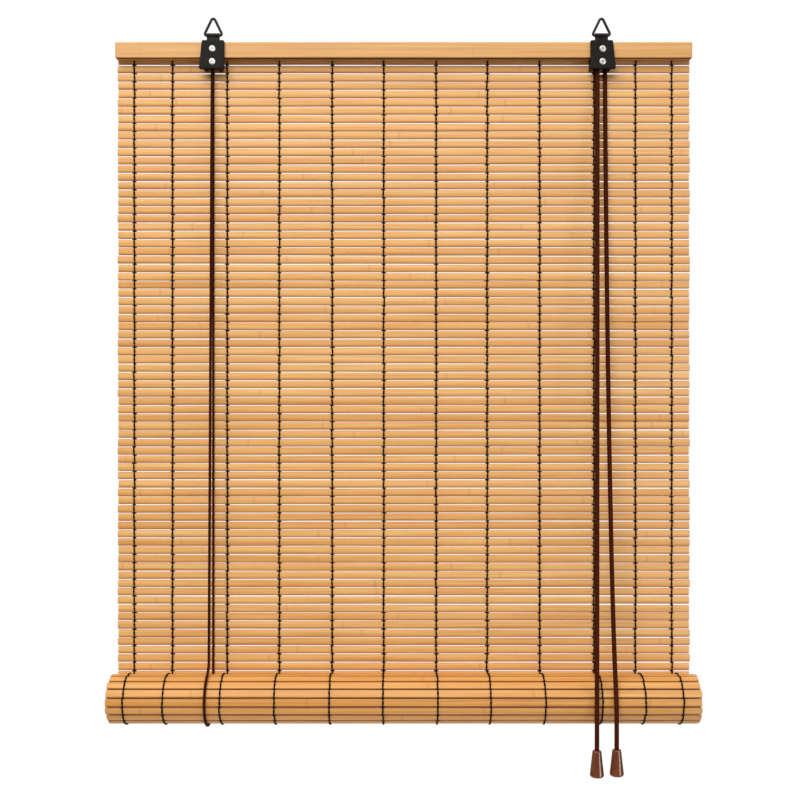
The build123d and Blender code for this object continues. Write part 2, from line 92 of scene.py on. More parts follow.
def ramp(tree, factor, stops):
    node = put(tree, "ValToRGB", {0: factor})
    points = node.color_ramp.elements
    while len(points) < len(stops):
        points.new(0.5)
    for point, (place, colour) in zip(points, stops):
        point.position = place
        point.color = (*colour, 1)
    return node.outputs[0]


def mixed(tree, factor, a, b, blend="MIX"):
    sockets = {0: factor, 6: a, 7: b}
    node = put(tree, "Mix", sockets, data_type="RGBA", blend_type=blend, clamp_factor=True)
    return node.outputs[2]


def noise(tree, place, scale=1.0, detail=3, rough=0.6, distortion=0.0):
    sockets = {"Vector": place, "Scale": scale, "Detail": detail, "Roughness": rough}
    return put(tree, "TexNoise", {**sockets, "Distortion": distortion}).outputs[0]


def newGroup(name, inputs, outputs):
    tree = bpy.data.node_groups.new(name, "ShaderNodeTree")
    for label, kind, value in inputs:
        socket = tree.interface.new_socket(label, in_out="INPUT", socket_type="NodeSocket" + kind)
        if value is not None:
            socket.default_value = value
    for label, kind in outputs:
        tree.interface.new_socket(label, in_out="OUTPUT", socket_type="NodeSocket" + kind)
    return tree, tree.nodes.new("NodeGroupInput").outputs, tree.nodes.new("NodeGroupOutput").inputs


def useGroup(tree, group, sockets):
    node = tree.nodes.new("ShaderNodeGroup")
    node.node_tree = group
    for place, value in sockets.items():
        if isinstance(value, bpy.types.NodeSocket):
            tree.links.new(value, node.inputs[place])
        else:
            node.inputs[place].default_value = value
    return node.outputs


def sendOut(tree, outputs, values):
    for label, value in values.items():
        tree.links.new(value, outputs[label])


# Shared effects
grainLook = {
    "seedShift": (3.1, 1.7),
    "fibreStretch": (7, 560, 560),
    "fineStretch": (16, 2300, 2300),
    "cloudStretch": (7, 40, 40),
    "jointsPerMetre": 2.9,
    "jointWobble": 0.012,
    "jointReach": (0.0016, 0.0052),
}


def makeGrain(look):
    # long fibres along X, soft clouds, and the thin cross marks of the cane's joints
    inputs = [("Place", "Vector", None), ("Seed", "Float", 0.0), ("Width", "Float", 1.0)]
    outputs = [("Fibre", "Float"), ("Fine", "Float"), ("Cloud", "Float"), ("Joint", "Float")]
    tree, start, end = newGroup("bambooGrain", inputs, outputs)
    seed = start["Seed"]
    byX, byY = look["seedShift"]
    sockets = {0: product(tree, seed, byX), 1: product(tree, seed, byY), 2: seed}
    shift = put(tree, "CombineXYZ", sockets).outputs[0]
    moved = put(tree, "VectorMath", {0: start["Place"], 1: shift}, operation="ADD").outputs[0]
    fibrePlace = scaled(tree, moved, look["fibreStretch"])
    fibre = noise(tree, fibrePlace, start["Width"], detail=4, rough=0.62, distortion=0.15)
    fine = noise(tree, scaled(tree, moved, look["fineStretch"]), start["Width"], detail=2, rough=0.5)
    cloud = noise(tree, scaled(tree, moved, look["cloudStretch"]), detail=2, rough=0.5)
    along = put(tree, "SeparateXYZ", {0: moved}).outputs[0]
    wobble = product(tree, fine, look["jointWobble"])
    part = calc(tree, "FRACT", calc(tree, "ADD", product(tree, along, look["jointsPerMetre"]), wobble))
    away = calc(tree, "ABSOLUTE", calc(tree, "SUBTRACT", part, 0.5))
    joint = between(tree, away, *look["jointReach"], 1.0, 0.0)
    sendOut(tree, end, {"Fibre": fibre, "Fine": fine, "Cloud": cloud, "Joint": joint})
    return tree


braidLook = {"bulge": 3.4, "gapReach": (0.2, 0.62), "hairStretch": (2600, 2600, 1500)}


def makeBraid(look):
    # two families of strands that pass over and under each other
    inputs = [("Place", "Vector", None), ("Across", "Float", 480.0), ("Along", "Float", 330.0)]
    outputs = [("Height", "Float"), ("GapShade", "Float"), ("Hair", "Float")]
    tree, start, end = newGroup("cordBraid", inputs, outputs)
    x, y, z = put(tree, "SeparateXYZ", {0: start["Place"]}).outputs[:3]
    around = product(tree, calc(tree, "ADD", x, y), start["Across"])
    down = product(tree, z, start["Along"])
    first = calc(tree, "ADD", around, down)
    second = calc(tree, "SUBTRACT", down, around)
    heights = []
    for strand in (first, second):
        off = calc(tree, "SUBTRACT", calc(tree, "FRACT", strand), 0.5)
        drop = product(tree, product(tree, off, off), look["bulge"])
        heights.append(calc(tree, "SUBTRACT", 1.0, drop))
    cells = calc(tree, "ADD", calc(tree, "FLOOR", first), calc(tree, "FLOOR", second))
    over = calc(tree, "FLOORED_MODULO", cells, 2.0)
    height = put(tree, "Mix", {0: over, 2: heights[0], 3: heights[1]}, data_type="FLOAT").outputs[0]
    # mask of the low parts between strands, for painted shade
    low = calc(tree, "MINIMUM", heights[0], heights[1])
    gap = between(tree, low, *look["gapReach"], 1.0, 0.0)
    hairGlint = noise(tree, scaled(tree, start["Place"], look["hairStretch"]), detail=3, rough=0.6)
    sendOut(tree, end, {"Height": height, "GapShade": gap, "Hair": hairGlint})
    return tree


wearLook = {
    "pitScale": 2600.0,
    "patchScale": 130.0,
    "dustScale": 900.0,
    "dustReach": (0.58, 0.78),
    "scratchStretch": (320, 500, 4200),
    "scratchReach": (0.66, 0.74),
}


def makeSurface(look):
    # fine pits, broad patches and thin scratches, for paint, plastic and metal
    inputs = [("Place", "Vector", None), ("Scale", "Float", 1.0)]
    outputs = [("Pits", "Float"), ("Patch", "Float"), ("Scratch", "Float"), ("Dust", "Float")]
    tree, start, end = newGroup("surfaceWear", inputs, outputs)
    sockets = {0: start["Place"], "Scale": start["Scale"]}
    place = put(tree, "VectorMath", sockets, operation="SCALE").outputs[0]
    pits = noise(tree, place, look["pitScale"], detail=2, rough=0.55)
    patch = noise(tree, place, look["patchScale"], detail=3, rough=0.55)
    lines = noise(tree, scaled(tree, place, look["scratchStretch"]), detail=2, rough=0.5, distortion=0.4)
    scratch = between(tree, lines, *look["scratchReach"])
    dust = between(tree, noise(tree, place, look["dustScale"], detail=4, rough=0.7), *look["dustReach"])
    sendOut(tree, end, {"Pits": pits, "Patch": patch, "Scratch": scratch, "Dust": dust})
    return tree


grainGroup = makeGrain(grainLook)
braidGroup = makeBraid(braidLook)
wearGroup = makeSurface(wearLook)


def newMaterial(name):
    material = bpy.data.materials.new(name)
    material.use_nodes = True
    tree = material.node_tree
    shader = tree.nodes["Principled BSDF"]
    place = put(tree, "TexCoord").outputs["Object"]
    return material, tree, shader, place


def dress(tree, shader, colour, rough, height, strength, distance, **plain):
    tree.links.new(colour, shader.inputs["Base Color"])
    tree.links.new(rough, shader.inputs["Roughness"])
    bump = put(tree, "Bump", {"Strength": strength, "Distance": distance, "Height": height})
    tree.links.new(bump.outputs[0], shader.inputs["Normal"])
    for label, value in plain.items():
        shader.inputs[label.replace("_", " ")].default_value = value


def attribute(tree, label):
    return put(tree, "Attribute", attribute_name=label).outputs["Fac"]


def tinted(tree, factor, colour, tint):
    return mixed(tree, factor, colour, tint, "MULTIPLY")


def makeBamboo(name, look):
    material, tree, shader, place = newMaterial(name)
    seed = attribute(tree, "seed") if look["perSlat"] else look["seed"]
    tone = attribute(tree, "tone") if look["perSlat"] else look["tone"]
    grain = useGroup(tree, grainGroup, {"Place": place, "Seed": seed, "Width": look["fibreScale"]})
    fine = between(tree, grain["Fine"], *look["fineReach"], 0.0, look["fineShade"])
    cloud = between(tree, grain["Cloud"], *look["cloudReach"], 0.0, look["cloudShade"])
    colour = ramp(tree, grain["Fibre"], look["stops"])
    colour = tinted(tree, fine, colour, look["streak"])
    colour = tinted(tree, cloud, colour, look["warm"])
    colour = mixed(tree, tone, tinted(tree, 1.0, colour, look["deep"]), colour)
    colour = tinted(tree, product(tree, grain["Joint"], look["jointShade"]), colour, look["joint"])
    if look["perSlat"]:
        # painted shade: each slat darkens towards both edges, where the gaps between slats shade it
        edge = between(tree, attribute(tree, "edge"), *look["edgeReach"], 0.0, look["edgeShade"])
        colour = tinted(tree, edge, colour, look["edge"])
        # painted shade: each hanging slat darker towards its lower side, as under light from above
        paintedSideShade = between(tree, attribute(tree, "paintedSideShade"), *look["paintedSideShadeReach"], 0.0, look["paintedSideShadeShare"])
        colour = tinted(tree, paintedSideShade, colour, look["paintedSideShade"])
    x, y, z = put(tree, "SeparateXYZ", {0: place}).outputs[:3]
    line = look["shadowLine"]
    if line:
        under = between(tree, z, *line["z"], 1.0, 0.0)
        near = between(tree, y, *line["y"], line["share"], 0.0)
        colour = mixed(tree, product(tree, under, near), colour, line["colour"])
    # the sawn ends show pores instead of fibres
    end = blind["width"] / 2
    cut = between(tree, calc(tree, "ABSOLUTE", x), end - look["cutDepth"][0], end - look["cutDepth"][1])
    pores = noise(tree, scaled(tree, place, look["poreStretch"]), detail=2, rough=0.6)
    colour = mixed(tree, cut, colour, ramp(tree, pores, look["cutStops"]))
    rough = between(tree, grain["Fibre"], 0.2, 0.8, look["rough"], look["rough"] + look["roughSpan"])
    relief = [product(tree, grain[label], share) for label, share in look["relief"].items()]
    height = calc(tree, "ADD", calc(tree, "ADD", relief[0], relief[1]), relief[2])
    lacquer = {"Coat_Weight": look["coat"], "Coat_Roughness": look["coatRough"]}
    dress(tree, shader, colour, rough, height, look["bump"], look["depth"], **lacquer)
    return material


slatLook = {
    "perSlat": True,
    "fibreScale": 1.0,
    "stops": [(0.22, (0.70, 0.335, 0.086)), (0.5, (0.90, 0.49, 0.155)), (0.8, (0.98, 0.65, 0.25))],
    "fineReach": (0.5, 0.72),
    "fineShade": 0.5,
    "streak": (0.83, 0.74, 0.62, 1),
    "cloudReach": (0.45, 0.75),
    "cloudShade": 0.4,
    "warm": (0.96, 0.86, 0.72, 1),
    "deep": (0.86, 0.74, 0.58, 1),
    "jointShade": 0.28,
    "joint": (0.72, 0.52, 0.35, 1),
    "edgeReach": (0.55, 1.0),
    "edgeShade": 0.75,
    "edge": (0.66, 0.42, 0.22, 1),
    "paintedSideShadeReach": (0.1, 1.0),
    "paintedSideShadeShare": 0.8,
    "paintedSideShade": (0.70, 0.50, 0.32, 1),
    "shadowLine": None,
    "cutDepth": (0.00065, 0.0002),
    "poreStretch": (100, 3300, 3300),
    "cutStops": [(0.3, (0.34, 0.17, 0.06)), (0.55, (0.66, 0.38, 0.15)), (0.8, (0.8, 0.54, 0.26))],
    "rough": 0.44,
    "roughSpan": 0.16,
    "relief": {"Fibre": 0.6, "Fine": 0.4, "Joint": 0.8},
    "bump": 0.35,
    "depth": 0.00025,
    "coat": 0.06,
    "coatRough": 0.35,
}
# painted shade: the rolled slats use darker copies of the slat colours and darker edges
shadedRollLook = {
    **slatLook,
    "stops": [(0.22, (0.61, 0.265, 0.056)), (0.5, (0.79, 0.385, 0.098)), (0.8, (0.89, 0.52, 0.165))],
    "edge": (0.42, 0.22, 0.10, 1),
}
railLook = {
    **slatLook,
    "perSlat": False,
    "seed": 4.37,
    "tone": 0.55,
    "fibreScale": 0.62,
    "stops": [(0.2, (0.68, 0.335, 0.096)), (0.5, (0.81, 0.45, 0.15)), (0.8, (0.91, 0.57, 0.215))],
    "joint": (0.93, 0.86, 0.75, 1),
    "shadowLine": {
        "colour": (0.085, 0.028, 0.010, 1),
        "z": (-0.03855, -0.0382),
        "y": (0.0036, 0.0058),
        "share": 0.85,
    },
    "rough": 0.4,
    "coat": 0.12,
}
barLook = {
    **railLook,
    "seed": 9.1,
    "shadowLine": None,
    "fibreScale": 0.4,
    "stops": [(0.25, (0.42, 0.24, 0.11)), (0.5, (0.6, 0.38, 0.19)), (0.8, (0.7, 0.48, 0.27))],
    "coat": 0.0,
    "rough": 0.6,
}
slatBamboo = makeBamboo("slatBamboo", slatLook)
shadedRollBamboo = makeBamboo("shadedRollBamboo", shadedRollLook)
railBamboo = makeBamboo("railBamboo", railLook)
barWood = makeBamboo("barWood", barLook)


def makeThread(look):
    material, tree, shader, place = newMaterial("darkThread")
    hairs = noise(tree, scaled(tree, place, look["hairStretch"]), detail=3, rough=0.65)
    broad = noise(tree, place, look["wornScale"], detail=2, rough=0.5)
    colour = ramp(tree, hairs, look["stops"])
    worn = between(tree, broad, *look["wornReach"], 0.0, look["wornShare"])
    colour = mixed(tree, worn, colour, look["worn"])
    rough = between(tree, hairs, 0.3, 0.8, *look["rough"])
    dress(tree, shader, colour, rough, hairs, look["bump"], look["depth"], Specular_IOR_Level=look["gloss"])
    return material


def makeCordLook(name, look):
    material, tree, shader, place = newMaterial(name)
    braid = useGroup(tree, braidGroup, {"Place": place, "Across": look["across"], "Along": look["along"]})
    # painted highlight: lighter specks where the fine hair noise is high
    hairGlint = between(tree, braid["Hair"], *look["hairGlintReach"], 0.0, look["hairGlintShare"])
    patch = noise(tree, scaled(tree, place, look["wornStretch"]), detail=2, rough=0.5)
    worn = between(tree, patch, *look["wornReach"], 0.0, look["wornShare"])
    # the ramp over strand height paints the crowns lighter and the sides darker, painted highlight and shade
    colour = ramp(tree, braid["Height"], look["stops"])
    colour = mixed(tree, hairGlint, colour, look["hairGlint"])
    # painted shade between the strands
    colour = mixed(tree, braid["GapShade"], colour, look["gap"])
    colour = mixed(tree, worn, colour, look["worn"])
    height = calc(tree, "ADD", braid["Height"], product(tree, braid["Hair"], look["hairRelief"]))
    rough = between(tree, braid["Hair"], 0.3, 0.8, *look["rough"])
    dress(tree, shader, colour, rough, height, look["bump"], look["depth"], Specular_IOR_Level=look["gloss"])
    return material


threadFinish = {
    "stops": [(0.3, (0.003, 0.0015, 0.001)), (0.55, (0.008, 0.004, 0.0026)), (0.8, (0.034, 0.016, 0.009))],
    "hairStretch": (3200, 3200, 900),
    "wornScale": 240.0,
    "wornReach": (0.5, 0.8),
    "wornShare": 0.5,
    "worn": (0.03, 0.012, 0.006, 1),
    "rough": (0.6, 0.85),
    "bump": 0.6,
    "depth": 0.00025,
    "gloss": 0.12,
}
pullCordLook = {
    "across": 430.0,
    "along": 300.0,
    "stops": [(0.15, (0.023, 0.003, 0.0006)), (0.6, (0.055, 0.0072, 0.0012)), (0.95, (0.105, 0.0155, 0.003))],
    "hairGlintReach": (0.52, 0.76),
    "hairGlintShare": 0.7,
    "hairRelief": 0.25,
    "hairGlint": (0.17, 0.042, 0.014, 1),
    "gap": (0.012, 0.003, 0.002, 1),
    "wornStretch": (60, 60, 14),
    "wornReach": (0.5, 0.75),
    "wornShare": 0.35,
    "worn": (0.085, 0.018, 0.006, 1),
    "rough": (0.5, 0.74),
    "bump": 0.7,
    "depth": 0.0004,
    "gloss": 0.03,
}
liftCordLook = {
    **pullCordLook,
    "across": 560.0,
    "along": 420.0,
    "stops": [(0.15, (0.018, 0.0028, 0.001)), (0.6, (0.042, 0.0065, 0.0019)), (0.95, (0.08, 0.0135, 0.004))],
    "hairGlint": (0.12, 0.028, 0.009, 1),
    "worn": (0.06, 0.012, 0.004, 1),
}
pullBraid = makeCordLook("pullCordBraid", pullCordLook)
liftBraid = makeCordLook("liftCordBraid", liftCordLook)
darkThread = makeThread(threadFinish)


def makeHard(name, look):
    material, tree, shader, place = newMaterial(name)
    wear = useGroup(tree, wearGroup, {"Place": place, "Scale": look["scale"]})
    colour = ramp(tree, wear["Patch"], look["stops"])
    colour = mixed(tree, product(tree, wear["Scratch"], look["scratchShare"]), colour, look["scratch"])
    colour = mixed(tree, product(tree, wear["Dust"], look["dustShare"]), colour, look["dust"])
    rough = between(tree, wear["Patch"], 0.3, 0.75, look["rough"], look["rough"] + look["roughSpan"])
    height = calc(tree, "SUBTRACT", wear["Pits"], product(tree, wear["Scratch"], look["scratchDepth"]))
    dress(tree, shader, colour, rough, height, look["bump"], look["depth"], Metallic=look["metallic"])
    shader.inputs["Specular IOR Level"].default_value = look["gloss"]
    return material


coverLook = {
    "scale": 1.0,
    "stops": [
        (0.3, (0.0065, 0.0046, 0.0044)),
        (0.55, (0.0098, 0.0070, 0.0066)),
        (0.8, (0.0165, 0.0122, 0.0112)),
    ],
    "scratchShare": 0.2,
    "scratchDepth": 0.4,
    "scratch": (0.07, 0.06, 0.055, 1),
    "dustShare": 0.18,
    "dust": (0.09, 0.08, 0.072, 1),
    "rough": 0.42,
    "roughSpan": 0.18,
    "metallic": 0.0,
    "gloss": 0.12,
    "bump": 0.35,
    "depth": 0.00012,
}
housingLook = {
    **coverLook,
    "stops": [(0.3, (0.007, 0.007, 0.007)), (0.6, (0.012, 0.012, 0.012)), (0.85, (0.02, 0.02, 0.02))],
    "rough": 0.5,
}
strapLook = {
    **coverLook,
    "stops": [(0.3, (0.010, 0.008, 0.008)), (0.6, (0.02, 0.016, 0.015)), (0.85, (0.045, 0.038, 0.034))],
    "scratchShare": 0.35,
    "rough": 0.34,
}
ringLook = {
    **coverLook,
    "stops": [(0.3, (0.018, 0.015, 0.014)), (0.6, (0.032, 0.027, 0.025)), (0.85, (0.07, 0.06, 0.055))],
    "scratchShare": 0.3,
    "rough": 0.3,
    "metallic": 0.35,
}
screwLook = {
    "scale": 1.6,
    "stops": [(0.3, (0.43, 0.425, 0.42)), (0.55, (0.54, 0.535, 0.53)), (0.8, (0.65, 0.645, 0.64))],
    "scratchShare": 0.5,
    "scratchDepth": 0.4,
    "scratch": (0.4, 0.4, 0.4, 1),
    "dustShare": 0.2,
    "dust": (0.3, 0.29, 0.27, 1),
    "rough": 0.42,
    "roughSpan": 0.12,
    "metallic": 1.0,
    "gloss": 0.5,
    "bump": 0.2,
    "depth": 0.00006,
}
steelLook = {
    **screwLook,
    "stops": [(0.3, (0.4, 0.4, 0.4)), (0.6, (0.52, 0.52, 0.51)), (0.85, (0.62, 0.61, 0.6))],
    "rough": 0.36,
}
nylonLook = {
    **screwLook,
    "stops": [(0.3, (0.68, 0.67, 0.62)), (0.6, (0.76, 0.75, 0.71)), (0.85, (0.82, 0.81, 0.78))],
    "scratch": (0.6, 0.59, 0.55, 1),
    "rough": 0.34,
    "metallic": 0.0,
}
coverPaint = makeHard("coverPaint", coverLook)
housingPlastic = makeHard("housingPlastic", housingLook)
strapPaint = makeHard("strapPaint", strapLook)
ringWire = makeHard("ringWire", ringLook)
screwZinc = makeHard("screwZinc", screwLook)
plainSteel = makeHard("plainSteel", steelLook)
whiteNylon = makeHard("whiteNylon", nylonLook)

toggleLook = {
    "stops": [(0.25, (0.07, 0.0135, 0.002)), (0.5, (0.15, 0.034, 0.005)), (0.78, (0.26, 0.075, 0.013))],
    "grainStretch": (420, 420, 34),
    "figureStretch": (150, 150, 60),
    "figureReach": (0.52, 0.72),
    "figureShare": 0.55,
    "figure": (0.12, 0.036, 0.013, 1),
    "poreStretch": (2600, 2600, 130),
    "poreReach": (0.6, 0.74),
    "poreShare": 0.7,
    "pore": (0.045, 0.014, 0.006, 1),
    "rough": (0.26, 0.4),
    "bump": 0.2,
    "depth": 0.0001,
    "coat": 0.8,
    "coatRough": 0.22,
    "gloss": 0.12,
}


def makeToggleWood(look):
    material, tree, shader, place = newMaterial("toggleWood")
    grain = noise(tree, scaled(tree, place, look["grainStretch"]), detail=4, rough=0.62, distortion=0.5)
    pores = noise(tree, scaled(tree, place, look["poreStretch"]), detail=2, rough=0.6)
    swirl = noise(tree, scaled(tree, place, look["figureStretch"]), detail=2, rough=0.5, distortion=1.2)
    figure = between(tree, swirl, *look["figureReach"], 0.0, look["figureShare"])
    pore = between(tree, pores, *look["poreReach"], 0.0, look["poreShare"])
    colour = ramp(tree, grain, look["stops"])
    colour = mixed(tree, figure, colour, look["figure"])
    colour = mixed(tree, pore, colour, look["pore"])
    rough = between(tree, grain, 0.3, 0.8, *look["rough"])
    finish = {"Coat_Weight": look["coat"], "Coat_Roughness": look["coatRough"]}
    finish["Specular_IOR_Level"] = look["gloss"]
    dress(tree, shader, colour, rough, pores, look["bump"], look["depth"], **finish)
    return material


toggleWood = makeToggleWood(toggleLook)
print("materials made")


# Mesh helpers
def newPiece(name, verts, faces, material, attributes=None, flatFrom=None, body="blind"):
    mesh = bpy.data.meshes.new(name)
    mesh.from_pydata(verts.reshape(-1, 3).tolist(), [], faces)
    smooth = np.ones(len(mesh.polygons), dtype=bool)
    if flatFrom is not None:
        smooth[flatFrom:] = False
    mesh.polygons.foreach_set("use_smooth", smooth)
    for label, values in (attributes or {}).items():
        layer = mesh.attributes.new(label, "FLOAT", "POINT")
        layer.data.foreach_set("value", np.asarray(values, dtype=np.float32).ravel())
    mesh.materials.append(material)
    piece = bpy.data.objects.new(name, mesh)
    bpy.context.scene.collection.objects.link(piece)
    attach(piece, body)
    return piece


def gridFaces(count, rings, sides):
    # quads of count tubes, each of so many rings with so many sides
    step = np.arange(sides)
    after = (step + 1) % sides
    ring = np.arange(rings - 1)[:, None] * sides
    quads = np.stack([ring + step, ring + after, ring + sides + after, ring + sides + step], axis=-1)
    quads = quads.reshape(-1, 4)
    return (np.arange(count)[:, None, None] * rings * sides + quads).reshape(-1, 4)


# Where each slat lies: its middle, the way that faces out of the back, and the way down the panel
def rollSlots():
    slots = []
    angle = 0.0
    reach = blind["rollRadius"] - blind["slatThickness"] / 2
    while reach > blind["barCorner"] + blind["slatThickness"] / 2 + blind["cordClearance"]:
        slots.append((angle, reach))
        step = blind["pitch"] / reach
        rise = (blind["slatWidth"] / 2) ** 2 / (2 * reach)
        depth = blind["slatThickness"] + blind["threadThickness"] + rise + blind["turnClearance"]
        angle += step
        reach -= depth * step / (2 * math.pi)
    return slots


slots = rollSlots()
outerCount = sum(1 for angle, reach in slots if angle < blind["outerTurnEnd"])
hangingPlaces = []
for row in range(blind["rows"]):
    hangingPlaces.append((blind["panelY"], blind["topRow"] - row * blind["pitch"], (1.0, 0.0), (0.0, -1.0)))
rolledPlaces = []
for angle, reach in slots:
    y = blind["rollY"] + reach * math.cos(angle)
    z = blind["rollZ"] - reach * math.sin(angle)
    rolledPlaces.append((y, z, (math.cos(angle), -math.sin(angle)), (-math.sin(angle), -math.cos(angle))))


def softPower(value, power):
    return np.sign(value) * np.abs(value) ** power


def clippedNormal(spread, limit, count):
    return rng.normal(0, spread, count).clip(-limit, limit)


def makeSlats(name, places, look, replaced):
    # each slat is a soft sided strip that waves a little and has its own length, width and colour
    count = len(places)
    sides = look["sides"]
    stations = look["stations"]
    turn = np.arange(sides) / sides * 2 * math.pi + look["cornerTurn"]
    across = softPower(np.cos(turn), 2 / look["squareness"])
    through = softPower(np.sin(turn), 2 / look["squareness"])
    # the ends round off over two stations
    (tip, tipFullness), (shoulder, shoulderFullness) = look["ends"]
    run = np.linspace(-look["run"], look["run"], stations - 4)
    along = np.concatenate([[-tip, -shoulder], run, [shoulder, tip]])
    fullness = np.ones(stations)
    fullness[[0, -1]] = tipFullness
    fullness[[1, -2]] = shoulderFullness
    left = -blind["width"] / 2 + rng.uniform(*look["endPlay"], count)
    right = blind["width"] / 2 - rng.uniform(*look["endPlay"], count)
    shift = clippedNormal(look["drift"], 2 * look["drift"], count)
    slope = clippedNormal(look["slope"], 2 * look["slope"], count)
    wide = 1 + clippedNormal(look["widthPlay"], look["widthLimit"], count)
    phase = rng.uniform(0, 2 * math.pi, (3, count))
    longTurns, shortTurns, bowTurns, widthTurns = look["turns"]
    verts = np.zeros((count, stations, sides, 3))
    for i, (y, z, out, down) in enumerate(places):
        x = left[i] + (along + 1) / 2 * (right[i] - left[i])
        wave = np.sin(x * longTurns + phase[0, i]) + 0.5 * np.sin(x * shortTurns + phase[1, i])
        lift = look["bow"] * np.sin(x * bowTurns + phase[2, i])
        slide = shift[i] + slope[i] * along + look["wave"] * wave
        swell = 1 + look["widthWave"] * np.sin(x * widthTurns + phase[1, i])
        width = look["width"] / 2 * wide[i] * swell
        u = slide[:, None] + across[None, :] * width[:, None] * fullness[:, None]
        v = lift[:, None] + through[None, :] * look["thickness"] / 2 * fullness[:, None]
        verts[i, :, :, 0] = x[:, None]
        verts[i, :, :, 1] = y + u * down[0] + v * out[0]
        verts[i, :, :, 2] = z + u * down[1] + v * out[1]
    faces = gridFaces(count, stations, sides)[:, ::-1].tolist()
    flatFrom = len(faces)
    for i in range(count):
        base = i * stations * sides
        faces.append([base + k for k in range(sides)])
        faces.append([base + (stations - 1) * sides + k for k in range(sides)][::-1])
    each = stations * sides
    attributes = {
        "seed": np.repeat(rng.uniform(0, look["seedSpan"], count), each),
        "tone": np.repeat(rng.beta(*look["tones"], count), each),
        # painted shade mask, rising towards both edges of each slat
        "edge": np.tile(np.abs(across) ** 1.5, count * stations),
        # painted shade mask, rising across each slat towards its lower side in the panel, weaker on the roll
        "paintedSideShade": np.tile(across * look["paintedSideShadeWeight"], count * stations),
    }
    piece = newPiece(name, verts, faces, look["material"], attributes, flatFrom)
    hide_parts(replaced)
    return shift, slope


hangingLook = {
    "material": slatBamboo,
    "sides": 18,
    "stations": 30,
    "squareness": 3.0,
    "cornerTurn": 0.3,
    "ends": [(1, 0.80), (0.99935, 0.94)],
    "run": 0.998,
    "width": 0.00792,
    "thickness": 0.0018,
    "endPlay": (-0.0002, 0.0009),
    "widthPlay": 0.018,
    "widthLimit": 0.04,
    "widthWave": 0.012,
    "drift": 0.00012,
    "slope": 0.00013,
    "wave": 0.00006,
    "bow": 0.00005,
    "turns": (9, 23, 13, 31),
    "seedSpan": 20,
    "tones": (2.6, 1.6),
    "paintedSideShadeWeight": 1.0,
}
rolledLook = {
    **hangingLook,
    "material": shadedRollBamboo,
    "stations": 20,
    "width": 0.0079,
    "drift": 0.00003,
    "slope": 0.00004,
    "wave": 0.00003,
    "bow": 0.00002,
    "paintedSideShadeWeight": 0.25,
}
hangingShift, hangingSlope = makeSlats("slatPanel", hangingPlaces, hangingLook, "hanging_slats")
rolledShift, rolledSlope = makeSlats("slatRoll", rolledPlaces, rolledLook, "rolled_slats")
print("slats made")

# Warp threads: two plies over each face of every slat, and a knot in every gap
threadLook = {
    "left": [-0.2825, -0.2425, -0.185, -0.1305, -0.075, -0.021],
    "right": [0.034, 0.0875, 0.1425, 0.1995, 0.243, 0.281],
    "steps": 7,
    "sides": 6,
    "plyRadius": 0.0006,
    "plyOffset": 0.00042,
    "plyDepth": 0.7,
    "stand": 0.00055,
    "crown": 0.0002,
    "dipReach": 0.0009,
    "dipDepth": 0.55,
    "turns": 1.0,
    "slant": 0.00045,
    "slantPlay": (0.5, 1.2),
    "wander": 0.00018,
    "knotPlay": (0.86, 1.12),
    "knot": {"size": (0.0019, 0.0012, 0.0016), "power": 1.25, "rings": 7, "sides": 10},
    "shadowTick": {"size": (0.0028, 0.00045, 0.0008), "power": 1.0, "rings": 5, "sides": 8},
}
xAxis = np.array([1.0, 0.0, 0.0])


def ballPart(middle, axes, size, look):
    # a rounded lump with its poles on the last axis
    lat = np.linspace(-math.pi / 2, math.pi / 2, look["rings"])
    lon = np.arange(look["sides"]) / look["sides"] * 2 * math.pi
    sizes = np.array(look["size"]) * size
    belt = softPower(np.cos(lat), look["power"])[:, None]
    a = belt * softPower(np.cos(lon), look["power"])[None, :] * sizes[0]
    b = belt * softPower(np.sin(lon), look["power"])[None, :] * sizes[1]
    c = np.broadcast_to(softPower(np.sin(lat), look["power"])[:, None], a.shape) * sizes[2]
    points = middle + a[..., None] * axes[0] + b[..., None] * axes[1] + c[..., None] * axes[2]
    return points.reshape(-1, 3), gridFaces(1, look["rings"], look["sides"])


def plyPart(path, look):
    # a round ply along a path of points
    turn = np.arange(look["sides"]) / look["sides"] * 2 * math.pi
    tangent = np.gradient(path, axis=0)
    tangent /= np.linalg.norm(tangent, axis=1, keepdims=True)
    normal = np.cross(tangent, xAxis)
    normal /= np.linalg.norm(normal, axis=1, keepdims=True)
    across = np.cross(normal, tangent)
    sideways = look["plyRadius"] * np.cos(turn)[None, :, None] * across[:, None, :]
    outward = look["plyRadius"] * np.sin(turn)[None, :, None] * normal[:, None, :]
    points = path[:, None, :] + sideways + outward
    return points.reshape(-1, 3), gridFaces(1, len(path), look["sides"])


def joinParts(parts):
    starts = np.cumsum([0, *[len(points) for points, faces in parts]])
    verts = np.concatenate([points for points, faces in parts])
    faces = [faces + start for (points, faces), start in zip(parts, starts)]
    return verts, np.concatenate(faces).tolist()


